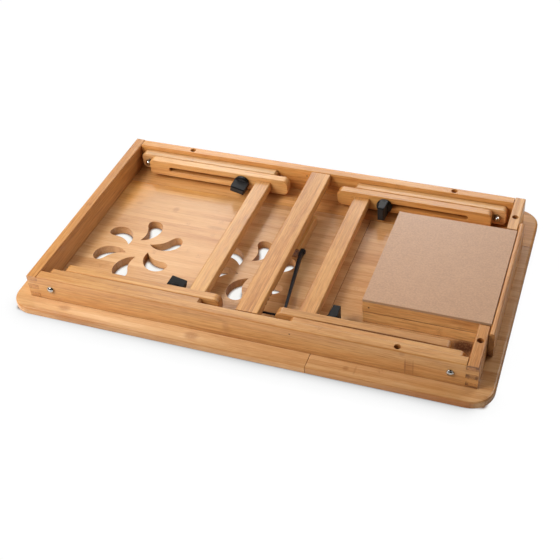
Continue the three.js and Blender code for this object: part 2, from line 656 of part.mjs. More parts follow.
// Carriage bolt that clamps the members: flat head let into the outer member, shank through the
// slot and into the knob.
function clampBolt() {
  const neck = HOLE_CLEARANCE + CLAMP_HEAD_HEIGHT;
  const end = 2 * LEG_THICKNESS + LEG_GAP + JOINT_GAP + CLAMP_IN_KNOB;
  return lathed([
    [0, HOLE_CLEARANCE],
    [CLAMP_HEAD_RADIUS - 1, HOLE_CLEARANCE],
    [CLAMP_HEAD_RADIUS, neck],
    [BOLT_RADIUS, neck],
    [BOLT_RADIUS, end],
    [0, end],
  ]);
}

// Clamping knob: a round collar at y = 0 and a flat thumb blade that thins towards its end.
function clampKnob() {
  const collar = lathed([
    [0, 0],
    [KNOB_COLLAR_RADIUS - 0.6, 0],
    [KNOB_COLLAR_RADIUS, 0.8],
    [KNOB_COLLAR_RADIUS, KNOB_COLLAR_HEIGHT - 2],
    [KNOB_COLLAR_RADIUS - 1, KNOB_COLLAR_HEIGHT - 0.5],
    [0, KNOB_COLLAR_HEIGHT],
  ]);
  const half = KNOB_BLADE_WIDTH / 2;
  const root = KNOB_BLADE_ROOT / 2;
  const tip = KNOB_BLADE_TIP / 2;
  const face = roundedRectangle(-half, half, 1, KNOB_LENGTH, 2.2);
  const edge = polygon([[1, -root], [KNOB_LENGTH - 1, -tip], [KNOB_LENGTH, -tip + 1],
    [KNOB_LENGTH, tip - 1], [KNOB_LENGTH - 1, tip], [1, root]]);
  const width = prism(face, KNOB_BLADE_ROOT + 1).translate(0, 0, -(KNOB_BLADE_ROOT + 1) / 2);
  const depth = turned(prism(edge, 2 * half + 2), [0, 1, 0], [0, 0, 1], [1, 0, 0]);
  const blade = solidFrom(width).intersect(solidFrom(depth.translate(-half - 1, 0, 0)));
  const bore = rod('y', BOLT_RADIUS + HOLE_CLEARANCE, -1, CLAMP_IN_KNOB + HOLE_CLEARANCE, [0, 0]);
  return collar.add(blade).subtract(bore);
}

// One leg frame. side is left or right; ends name the members at -Y and +Y of the local frame.
function addLegFrame(side, turn, ends, knobTurn) {
  const frame = new THREE.Group();
  frame.position.set(side === 'left' ? -PIVOT_X : PIVOT_X, FRAME_MIDDLE, PIVOT_Z);
  frame.rotation.set(0, 0, turn);
  table.add(frame);
  const ordered = [[ends[0], -1], [ends[1], 1]];
  for (const [end, sign] of ordered) {
    // Members are made with y growing away from the rail; the other end's are turned over.
    const half = new THREE.Group();
    half.rotation.set(sign < 0 ? 0 : Math.PI, 0, 0);
    frame.add(half);
    const tag = `${side}_${end}`;
    addPiece(half, `outer_leg_${tag}`, outerLeg(), 'bamboo', [0, -OUTER_LEG_Y, 0]);
    addPiece(half, `inner_leg_${tag}`, innerLeg(), 'bamboo', [0, -INNER_LEG_Y, 0]);
    addPiece(half, `pivot_bolt_${tag}`, pivotBolt(), 'bright_steel', [0, -FRAME_DEPTH / 2, 0]);
    addPiece(half, `pivot_nut_${tag}`, capNut(), 'bright_steel',
      [0, -OUTER_LEG_Y + LEG_THICKNESS + JOINT_GAP, 0]);
    addPiece(half, `clamp_bolt_${tag}`, clampBolt(), 'bright_steel', [KNOB_REACH, -OUTER_LEG_Y, 0]);
    addPiece(half, `clamp_knob_${tag}`, clampKnob(), 'black_plastic',
      [KNOB_REACH, -INNER_LEG_FACE_Y + JOINT_GAP, 0],
      [0, -sign * THREE.MathUtils.degToRad(knobTurn), 0]);
  }
  addPiece(frame, `crossbar_${side}`, crossbar(), 'bamboo', [CROSSBAR_REACH, 0, 0]);
}

// ---------------------------------------------------------------------------------------------
// Hinges of the tilting board, made about the hinge's axis with the leaf towards +Y
// ---------------------------------------------------------------------------------------------

const KNUCKLE_LENGTH = (HINGE_LENGTH - 2 * JOINT_GAP) / 3;

// The three knuckles' places along X: the frame's leaf has the outer two, the board's the middle.
function knuckleSpans(middleOnly) {
  const pitch = KNUCKLE_LENGTH + JOINT_GAP;
  const spans = [-1, 0, 1].map((i) => [i * pitch - KNUCKLE_LENGTH / 2, i * pitch + KNUCKLE_LENGTH / 2]);
  return spans.filter((span, i) => (i === 1) === middleOnly);
}

function hingeLeaf(middleOnly) {
  const low = -KNUCKLE_RADIUS;
  const start = KNUCKLE_RADIUS / 2;
  const half = HINGE_LENGTH / 2;
  const plate = block([-half, start, low], [half, HINGE_LEAF_WIDTH, low + HINGE_LEAF_THICKNESS]);
  const reliefs = knuckleSpans(!middleOnly).map(([x0, x1]) => rod('x', KNUCKLE_RADIUS + JOINT_GAP,
    x0 - JOINT_GAP, x1 + JOINT_GAP, [0, 0]));
  const knuckles = knuckleSpans(middleOnly).map(([x0, x1]) => rod('x', KNUCKLE_RADIUS, x0, x1, [0, 0]));
  const bore = rod('x', HINGE_PIN_RADIUS + HOLE_CLEARANCE, -half - 1, half + 1, [0, 0], SMALL_ROUND_STEPS);
  return joinAll([cutAll(plate, reliefs), ...knuckles]).subtract(bore);
}

function addHinges() {
  for (const [side, x] of HINGE_PLACES) {
    const place = [x, HINGE_SEAM_Y, HINGE_AXIS_HEIGHT];
    const half = HINGE_LENGTH / 2;
    addPiece(table, `hinge_strip_leaf_${side}`, hingeLeaf(false), 'brass', place);
    const boardLeaf = hingeLeaf(true);
    const flipped = geometryFrom(boardLeaf).rotateZ(Math.PI);
    addPiece(table, `hinge_board_leaf_${side}`, solidFrom(flipped), 'brass', place);
    const pin = rod('x', HINGE_PIN_RADIUS, -half, half, [0, 0], SMALL_ROUND_STEPS);
    addPiece(table, `hinge_pin_${side}`, pin, 'bright_steel', place);
  }
}

// ---------------------------------------------------------------------------------------------
// Prop stay of the tilting board
// ---------------------------------------------------------------------------------------------

const PROP_FACE_X = DIVIDER_HIGH_EDGE_X + STAY_GAP;
const PROP_BLOCK_REAR = TOP_REAR + PROP_BLOCK_INSET;
const PROP_PIVOT_Y = PROP_BLOCK_REAR + PROP_PIVOT_INSET;
const PROP_PIVOT_Z = TOP_THICKNESS + JOINT_GAP + PROP_PIVOT_RISE;

// A flat strip on edge, seen from above: straight at the screw, bent out, then turned in to a foot.
function stayPlan() {
  const inner = PROP_FACE_X + STAY_GAP;
  const outer = inner + STAY_THICKNESS;
  const eye = PROP_PIVOT_Y + STAY_HEIGHT / 2;
  const bend = PROP_PIVOT_Y - STAY_HEIGHT;
  const end = PROP_PIVOT_Y - STAY_LENGTH;
  return polygon([
    [inner, eye],
    [inner, bend],
    [inner + STAY_SPLAY, end + STAY_THICKNESS],
    [outer + STAY_SPLAY - STAY_FOOT, end + STAY_THICKNESS],
    [outer + STAY_SPLAY - STAY_FOOT, end],
    [outer + STAY_SPLAY, end],
    [outer, bend],
    [outer, eye],
  ]);
}

function addProp() {
  const chamfer = PROP_BLOCK_HEIGHT / 6;
  const low = TOP_THICKNESS + JOINT_GAP;
  const high = low + PROP_BLOCK_HEIGHT;
  const screwHole = (radius, from, to) => rod('x', radius, from, to, [PROP_PIVOT_Y, PROP_PIVOT_Z],
    SMALL_ROUND_STEPS);
  const side = polygon([
    [PROP_BLOCK_REAR, low],
    [PROP_BLOCK_REAR + PROP_BLOCK_LENGTH, low],
    [PROP_BLOCK_REAR + PROP_BLOCK_LENGTH, high - chamfer],
    [PROP_BLOCK_REAR + PROP_BLOCK_LENGTH - chamfer, high],
    [PROP_BLOCK_REAR, high],
  ]);
  const bar = turned(prism(side, PROP_BLOCK_WIDTH), [0, 1, 0], [0, 0, 1], [1, 0, 0]);
  const body = solidFrom(bar.translate(PROP_FACE_X - PROP_BLOCK_WIDTH, 0, 0));
  const bite = screwHole(STAY_SCREW_RADIUS + HOLE_CLEARANCE,
    PROP_FACE_X - STAY_SCREW_BITE - HOLE_CLEARANCE, PROP_FACE_X + 1);
  addPiece(table, 'prop_block', body.subtract(bite), 'bamboo');

  const strip = solidFrom(prism(stayPlan(), STAY_HEIGHT).translate(0, 0, PROP_PIVOT_Z - STAY_HEIGHT / 2));
  const sideView = new THREE.Shape();
  const round = STAY_HEIGHT / 2;
  sideView.moveTo(PROP_PIVOT_Y - STAY_LENGTH, PROP_PIVOT_Z - round);
  sideView.absarc(PROP_PIVOT_Y, PROP_PIVOT_Z, round, -Math.PI / 2, Math.PI / 2);
  sideView.lineTo(PROP_PIVOT_Y - STAY_LENGTH, PROP_PIVOT_Z + round);
  sideView.closePath();
  const envelope = turned(prism(sideView, 4 * STAY_FOOT), [0, 1, 0], [0, 0, 1], [1, 0, 0]);
  const stay = strip.intersect(solidFrom(envelope.translate(PROP_FACE_X - 2 * STAY_FOOT, 0, 0)));
  const eyeHole = screwHole(STAY_SCREW_RADIUS + HOLE_CLEARANCE, PROP_FACE_X - 1,
    PROP_FACE_X + STAY_GAP + STAY_THICKNESS + 1);
  addPiece(table, 'prop_stay', stay.subtract(eyeHole), 'black_steel');

  const head = PROP_FACE_X + STAY_GAP + STAY_THICKNESS + JOINT_GAP;
  const screw = joinAll([
    screwHole(STAY_SCREW_RADIUS, PROP_FACE_X - STAY_SCREW_BITE, head + 0.1),
    screwHole(STAY_SCREW_HEAD_RADIUS, head, head + STAY_SCREW_HEAD_HEIGHT),
  ]);
  addPiece(table, 'prop_screw', screw, 'black_steel');
}

// ---------------------------------------------------------------------------------------------
// Drawer and runners
// ---------------------------------------------------------------------------------------------

// Section of a drawer side, in distance inwards from the drawer's outer face and height: the part
// beside the runner is thinner and carries a tongue in the runner's groove.
function drawerSideSection() {
  const shoulder = RUNNER_HIGH + SLIDE_GAP;
  const inside = RUNNER_THICKNESS + SLIDE_GAP;
  const tongueLow = TONGUE_MIDDLE_Z - TONGUE_HEIGHT / 2;
  const tongueHigh = TONGUE_MIDDLE_Z + TONGUE_HEIGHT / 2;
  return [
    [0, DRAWER_WALL_HIGH],
    [0, shoulder],
    [inside, shoulder],
    [inside, tongueHigh],
    [inside - TONGUE_DEPTH, tongueHigh],
    [inside - TONGUE_DEPTH, tongueLow],
    [inside, tongueLow],
    [inside, DRAWER_LOW],
    [DRAWER_WALL, DRAWER_LOW],
    [DRAWER_WALL, DRAWER_WALL_HIGH],
  ];
}

// Section of a runner, with the groove in its inner face.
function runnerSection() {
  const deep = RUNNER_THICKNESS - TONGUE_DEPTH;
  const grooveLow = TONGUE_MIDDLE_Z - TONGUE_HEIGHT / 2 - SLIDE_GAP;
  const grooveHigh = TONGUE_MIDDLE_Z + TONGUE_HEIGHT / 2 + SLIDE_GAP;
  return [
    [0, RUNNER_LOW],
    [RUNNER_THICKNESS, RUNNER_LOW],
    [RUNNER_THICKNESS, grooveLow],
    [deep, grooveLow],
    [deep, grooveHigh],
    [RUNNER_THICKNESS, grooveHigh],
    [RUNNER_THICKNESS, RUNNER_HIGH],
    [0, RUNNER_HIGH],
  ];
}

// A section drawn inwards from a face at y, run along X; sign is +1 at the rear, -1 at the front.
function runAlongX(section, faceY, sign, x0, x1) {
  const outline = polygon(section.map(([inward, z]) => [faceY + sign * inward, z]));
  const bar = turned(prism(outline, x1 - x0), [0, 1, 0], [0, 0, 1], [1, 0, 0]);
  return solidFrom(bar.translate(x0, 0, 0));
}

function addDrawer() {
  const runnerEnd = FRAME_HALF - RUNNER_END_INSET;
  const wallEnd = DRAWER_FACE_X - JOINT_GAP;
  for (const [end, faceY, sign] of [['rear', DRAWER_REAR, 1], ['front', DRAWER_FRONT_SIDE, -1]]) {
    const runner = runAlongX(runnerSection(), faceY, sign, DRAWER_BACK_X, runnerEnd);
    addPiece(table, `runner_${end}`, runner, 'bamboo');
    const wall = runAlongX(drawerSideSection(), faceY, sign, DRAWER_BACK_X, wallEnd);
    addPiece(table, `drawer_side_${end}`, wall, 'bamboo');
  }
  const inset = DRAWER_WALL + JOINT_GAP;
  addPiece(table, 'drawer_back', block(
    [DRAWER_BACK_X, DRAWER_REAR + inset, DRAWER_LOW],
    [DRAWER_BACK_X + DRAWER_BACK_THICKNESS, DRAWER_FRONT_SIDE - inset, DRAWER_WALL_HIGH],
  ), 'bamboo');
  addPiece(table, 'drawer_bottom', block(
    [DRAWER_BACK_X, DRAWER_REAR, DRAWER_HIGH - DRAWER_BOTTOM_THICKNESS],
    [wallEnd, DRAWER_FRONT_SIDE, DRAWER_HIGH],
  ), 'hardboard');
  const faceLow = TOP_THICKNESS + DRAWER_FRONT_MARGIN;
  const reach = DRAWER_FRONT_OVERLAP + DRAWER_SIDE_GAP;
  const face = railAlongY(DRAWER_REAR - reach, DRAWER_FRONT_SIDE + reach,
    DRAWER_FACE_X + DRAWER_FRONT_THICKNESS / 2, DRAWER_FRONT_THICKNESS, faceLow, DRAWER_HIGH,
    DRAWER_FRONT_ROUND);
  addPiece(table, 'drawer_front', face, 'bamboo');
}

addTop();
addFrame();
addTopScrews();
addLegFrame('left', 0, ['rear', 'front'], LEFT_KNOB_TURN);
addLegFrame('right', Math.PI, ['front', 'rear'], RIGHT_KNOB_TURN);
addHinges();
addProp();
addDrawer();

export default model;
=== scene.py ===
import math

import bpy
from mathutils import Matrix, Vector

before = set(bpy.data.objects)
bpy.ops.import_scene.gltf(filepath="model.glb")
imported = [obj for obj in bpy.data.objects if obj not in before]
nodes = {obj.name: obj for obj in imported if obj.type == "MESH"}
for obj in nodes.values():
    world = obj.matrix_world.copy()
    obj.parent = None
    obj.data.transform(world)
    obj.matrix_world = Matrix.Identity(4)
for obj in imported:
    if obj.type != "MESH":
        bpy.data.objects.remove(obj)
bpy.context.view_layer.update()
scene = bpy.context.scene
MM = 0.001

# ---------------------------------------------------------------- camera (mm, degrees)
CAMERA_PLACE = (341.6, -841.3, 769.2)
CAMERA_TURN = (49.593, 2.750, 18.844)
CAMERA_LENS = 64.38
CAMERA_SHIFT = (-0.02814, -0.02917)
SENSOR_WIDTH = 36
CLIP_START = 20

lens = bpy.data.cameras.new("camera")
lens.sensor_width = SENSOR_WIDTH
lens.lens = CAMERA_LENS
lens.shift_x, lens.shift_y = CAMERA_SHIFT
lens.clip_start = CLIP_START * MM
camera = bpy.data.objects.new("camera", lens)
camera.location = [v * MM for v in CAMERA_PLACE]
camera.rotation_euler = [math.radians(v) for v in CAMERA_TURN]
scene.collection.objects.link(camera)
scene.camera = camera

# ---------------------------------------------------------------- lights
# name: place, looks at (mm), size (mm), watts
LIGHTS = {
    "key": ((-800, -800, 1130), (0, 0, 0), 600, 14.6),
    "low_left": ((-850, -550, 450), (-150, 0, 0), 350, 4.6),
    "high_left": ((-600, -100, 800), (-100, 0, 0), 400, 1.6),
    "window": ((-520, 1400, 620), (0, 0, 0), 600, 3.9),
    "window_right": ((200, 1450, 620), (0, 0, 0), 600, 1.3),
    "back_low": ((-250, 1450, 500), (0, 0, 0), 400, 1.6),
    "back_high": ((-80, 1290, 870), (30, 70, 0), 320, 1.6),
    "back_right": ((200, 1250, 900), (100, 100, 0), 300, 0.5),
    "rear_left": ((-700, 1100, 1000), (-150, 0, 0), 400, 2.2),
    "rear_right": ((800, 800, 1130), (0, 0, 0), 600, 5.2),
    "low_right": ((1080, 1080, 490), (0, 0, 0), 600, 3.5),
    "right": ((1130, 0, 1130), (0, 0, 0), 600, 0.7),
    "front": ((0, -1300, 850), (0, 0, 0), 700, 3.45),
}
SKY_STRENGTH = 0.01


def add_light(name, place, target, size, power):
    data = bpy.data.lights.new(name, "AREA")
    data.shape = "SQUARE"
    data.size = size * MM
    data.energy = power
    light = bpy.data.objects.new(name, data)
    light.location = [v * MM for v in place]
    towards = Vector(target) - Vector(place)
    light.rotation_euler = towards.to_track_quat("-Z", "Y").to_euler()
    scene.collection.objects.link(light)


for light_name, settings in LIGHTS.items():
    add_light(light_name, *settings)


# ---------------------------------------------------------------- node trees
BEVEL_SAMPLES = 4
SHADE_SAMPLES = 8
# cosine between a face and its rounded normal: in its middle, and at a sharp border
FLAT, BORDER = 0.995, 0.80
# where a spot begins and where it is full, in its half sizes
SPOT_OUTER, SPOT_INNER = 1.15, 0.35


class Graph:
    """A node tree, written as nested calls. An input is a number, a colour, a vector or a socket."""

    def __init__(self, tree):
        self.tree = tree
        tree.nodes.clear()

    def node(self, kind, values=None, **settings):
        made = self.tree.nodes.new("ShaderNode" + kind)
        for name, value in settings.items():
            setattr(made, name, value)
        for name, value in (values or {}).items():
            self.put(made.inputs[name], value)
        return made

    def put(self, socket, value):
        if isinstance(value, bpy.types.NodeSocket):
            self.tree.links.new(value, socket)
        else:
            socket.default_value = value

    def math(self, operation, *values):
        made = self.node("Math", operation=operation)
        for socket, value in zip(made.inputs, values):
            self.put(socket, value)
        return made.outputs[0]

    def vector(self, x, y, z):
        return self.node("CombineXYZ", {"X": x, "Y": y, "Z": z}).outputs[0]

    def split(self, value):
        return self.node("SeparateXYZ", {0: value}).outputs

    def smooth(self, value, low, high, to_low=0.0, to_high=1.0):
        made = self.node("MapRange", interpolation_type="SMOOTHSTEP")
        for socket, v in zip(made.inputs, (value, low, high, to_low, to_high)):
            self.put(socket, v)
        return made.outputs[0]

    def noise(self, place, scale=1.0, detail=2.0, roughness=0.5):
        values = {"Vector": place, "Scale": scale, "Detail": detail, "Roughness": roughness}
        return self.node("TexNoise", values).outputs["Fac"]

    def spot(self, place, centre, half):
        """1 in the middle of an ellipsoid, fading to 0 a little outside it."""
        offset = self.node("VectorMath", operation="SUBTRACT")
        self.put(offset.inputs[0], place)
        offset.inputs[1].default_value = centre
        scaled = self.node("VectorMath", operation="DIVIDE")
        self.put(scaled.inputs[0], offset.outputs[0])
        scaled.inputs[1].default_value = half
        reach = self.node("VectorMath", {0: scaled.outputs[0]}, operation="LENGTH")
        return self.smooth(reach.outputs["Value"], SPOT_OUTER, SPOT_INNER)

    def rim(self, width):
        """1 along the sharp borders of a face, fading to 0 this far (mm) from them."""
        rounded = self.node("Bevel", {"Radius": width * MM}, samples=BEVEL_SAMPLES).outputs[0]
        plain = self.node("NewGeometry").outputs["Normal"]
        alike = self.node("VectorMath", {0: rounded, 1: plain}, operation="DOT_PRODUCT")
        return self.smooth(alike.outputs["Value"], FLAT, BORDER)

    def slanting(self, coordinates):
        """1 on faces at 45 degrees, 0 on level and upright ones."""
        z = self.split(coordinates.outputs["Normal"])["Z"]
        level = self.math("MULTIPLY", z, z)
        slant = self.math("MULTIPLY", level, self.math("SUBTRACT", 1.0, level))
        # the product is a quarter at 45 degrees
        return self.math("MULTIPLY", slant, 4.0)

    def openness(self, reach, samples=SHADE_SAMPLES):
        """1 in the open, less where faces nearer than this (mm) close a place in."""
        return self.node("AmbientOcclusion", {"Distance": reach * MM}, samples=samples).outputs["AO"]

    def crevice_shade(self, colour, reach, dark_at, clear_at, tint):
        """Paints shade into a colour where nearby faces close it in."""
        shade = self.mix(self.smooth(self.openness(reach), dark_at, clear_at), rgb(*tint), rgb(1, 1, 1))
        return self.mix(1.0, colour, shade, "MULTIPLY")

    def mix(self, amount, first, second, blend="MIX"):
        made = self.node("Mix", data_type="RGBA", blend_type=blend)
        self.put(made.inputs[0], amount)
        self.put(made.inputs[6], first)
        self.put(made.inputs[7], second)
        return made.outputs[2]


def new_material(name):
    material = bpy.data.materials.new(name)
    material.use_nodes = True
    return material, Graph(material.node_tree)


def rgb(red, green, blue):
    return (red, green, blue, 1.0)


def finish_material(graph, colour, roughness, height, depth, bevel, **more):
    """Puts the colour, the roughness, a fine relief and rounded arrises (mm) on one shader."""
    rounded = graph.node("Bevel", {"Radius": bevel * MM}, samples=BEVEL_SAMPLES).outputs[0]
    relief = {"Height": height, "Distance": depth * MM, "Strength": 1.0, "Normal": rounded}
    normal = graph.node("Bump", relief).outputs[0]
    values = {"Base Color": colour, "Roughness": roughness, "Normal": normal, **more}
    shader = graph.node("BsdfPrincipled", values)
    graph.node("OutputMaterial", {"Surface": shader.outputs[0]})


# ---------------------------------------------------------------- bamboo
MM_PER_M = 1000.0
# linear colours; the three tones are of dark streaks, of most of the bamboo and of light streaks
BOARD_TONES = ((0.460, 0.206, 0.074), (0.622, 0.338, 0.140), (0.729, 0.440, 0.218))
FRAME_TONES = ((0.416, 0.165, 0.045), (0.574, 0.266, 0.080), (0.680, 0.349, 0.121))
NODE_TONE = (0.300, 0.115, 0.040)
END_TONE = (0.330, 0.140, 0.060)
PORE_TONE = (0.100, 0.034, 0.014)
# painted shade in crevices and corners: its colour, how far (mm) it looks for nearby faces, and the
# openness where it ends
CREVICE_SHADE_TINT = (0.68, 0.49, 0.29)
CREVICE_REACH = 12
CREVICE_CLEAR = 0.70
# painted shade on rounded arrises: its colour and strength; and how much gloss they lose
ARRIS_SHADE_TINT = (0.72, 0.60, 0.48)
ARRIS_SHADE = 0.7
ARRIS_MATTNESS = 0.85
POLISH_SPREAD = 0.08
RELIEF = 0.05
GRAIN_RANGE = (0.3, 0.7)            # what most of a noise stays within

# noise per mm along the fibres, the same across them, and detail
SLOW_STREAKS = (0.008, 0.03, 1.0)
MIDDLE_STREAKS = (0.014, 0.38, 2.0)
FINE_STREAKS = (0.070, 0.95, 2.0)
BAND_STREAKS = (0.005, 0.14, 1.0)
FIBRE_STREAKS = (0.022, 0.75, 1.0)
GRAIN_ROUGHNESS = 0.6
SLOW_AMOUNT = 0.55
TONE_STOPS = (0.18, 0.5, 0.82)
REDDER = (1.02, 0.93, 0.88)
BAND_FROM, BAND_FULL, BAND_AMOUNT = 0.42, 0.62, 0.7
FIBRE_FROM, FIBRE_FULL, FIBRE_AMOUNT = 0.58, 0.74, 0.55

# the strips: how fast and how far (mm) their borders wander, and what sets pieces and strips apart
WANDER_RATE, WANDER = 0.006, 1.5
SEED_OF_PIECE = 1.37
SHIFT_OF_PIECE = 3.7
SHIFT_OF_STRIP = 731.0
GLUE_FROM, GLUE_FULL, GLUE_AMOUNT = 0.44, 0.5, 0.14

# the joints of the culm: spacing and half widths (mm), which strips have them, and their noise
NODE_SPACING = 235.0
NODE_OUTER, NODE_INNER, NODE_AMOUNT = 5.0, 0.5, 0.32
NODE_FROM, NODE_ALL = 0.45, 0.65
BLOT_ALONG, BLOT_ACROSS = 0.5, 0.3
BLOT_FROM, BLOT_FULL = 0.35, 0.65
MARK_BREAKUP = (0.15, 0.55, 0.6, 1.0)  # a mark is from 0.6 to fully strong, by the same noise
FAR_AWAY = 5000.0                   # keeps the places along a strip above 0

# sawn ends: how squarely a face looks along the fibres, pores per mm, and the dark border (mm)
END_FROM, END_FULL = 0.75, 0.97
PORE_RATE, PORE_FROM, PORE_FULL = 0.45, 0.42, 0.58
END_BORDER, END_BORDER_FROM, END_BORDER_FULL = 1.4, 0.65, 0.35
PIN_OUTER, PIN_INNER = 1.25, 0.75

# places in the frame (mm): centre, half sizes, strength
MARKS = {
    "tilting_top": (
        ((-161, 51, 10), (5, 6, 4), 0.40),
        ((-98, 29, 10), (13, 5, 4), 0.35),
        ((-212, 51, 10), (6, 5, 4), 0.25),
        ((-52, -153, 10), (10, 7, 4), 0.50),
        ((-209, -152, 10), (9, 5, 4), 0.50),
    ),
    "fixed_top": (
        ((123, -153, 10), (4, 4, 4), 0.45),
        ((133, -153, 10), (1.5, 8, 4), 0.30),
    ),
    "rear_rail": (
        ((-62, -143.5, 36), (8, 4, 4), 0.30),
        ((-14, -143.5, 24), (5, 4, 11), 0.30),
        ((183.5, -143.5, 21), (1.1, 4, 13), 0.75),
        ((191.8, -143.5, 21), (1.1, 4, 13), 0.50),
        ((187.5, -143.5, 21), (6, 4, 13), 0.25),
        ((180, -143.5, 38), (4, 4, 3), 0.45),
    ),
}
# nearly black places: painted shadow in the pocket behind the near right leg ends, painted shade along
# the gap on top of the right rear inner leg and where the rear drawer side meets the runner; the dark
# finger ends of the joint on the rear end block
STAINS_AND_SHADOWS = {
    "fixed_top": (((234, -88, 10), (19, 12, 5), 1.0),),
    "inner_leg_right_rear": (((150, -118.7, 36), (95, 1.3, 4), 0.75),),
    "drawer_side_rear": (((180, -79.5, 24.7), (95, 2, 1.1), 0.60),),
    "rear_end_block": (
        ((252.5, -143.5, 39.8), (8, 3, 1.3), 0.75),
        ((257.4, -143.5, 38.8), (2.4, 3, 2.0), 0.90),
        ((247.9, -143.5, 25.8), (2.8, 3, 3.4), 0.85),
        ((252.5, -143.5, 25.4), (7, 3, 2.8), 0.45),
        ((256.9, -143.5, 24.8), (2.4, 3, 3.6), 0.85),
        ((247.6, -143.5, 14.2), (2.2, 3, 2.2), 0.85),
        ((253.5, -143.5, 11.6), (8, 3, 1.9), 0.70),
    ),
}
# painted light and shade on the board: orange bounce light between the pieces, and paler lit or darker
# shaded places along its near and right edges
LIGHT_AND_SHADE_PATCHES = {
    "tilting_top": (
        ((-165, 110, 10), (120, 38, 8), (1.15, 1.02, 0.66)),
        ((-232, 78, 10), (32, 50, 8), (1.15, 1.02, 0.66)),
        ((-130, -153, 12), (190, 16, 7), (1.12, 1.25, 1.45)),
        ((-120, -166, 3), (190, 5, 16), (0.85, 0.85, 0.88)),
    ),
    "fixed_top": (
        ((50, -153, 12), (120, 16, 7), (1.08, 1.13, 1.18)),
        ((222, -156, 12), (38, 12, 7), (0.95, 0.90, 0.80)),
        ((263, 30, 12), (6, 110, 7), (1.22, 1.24, 1.30)),
        ((100, -166, 3), (110, 5, 16), (0.85, 0.76, 0.66)),
        ((250, -166, 3), (120, 5, 16), (0.62, 0.42, 0.28)),
    ),
}
# nails that show as dark dots
PINS = {
    "rear_rail": (((58.9, -143.5, 33.2), 0.9),),
    "drawer_side_rear": (((127.2, -79.5, 31.3), 1.0),),
    "runner_rear": (((151, -85.6, 23.9), 1.0),),
    "front_rail": (((-12.9, 132, 33.3), 0.9), ((-77.4, 132, 20.6), 0.8)),
}


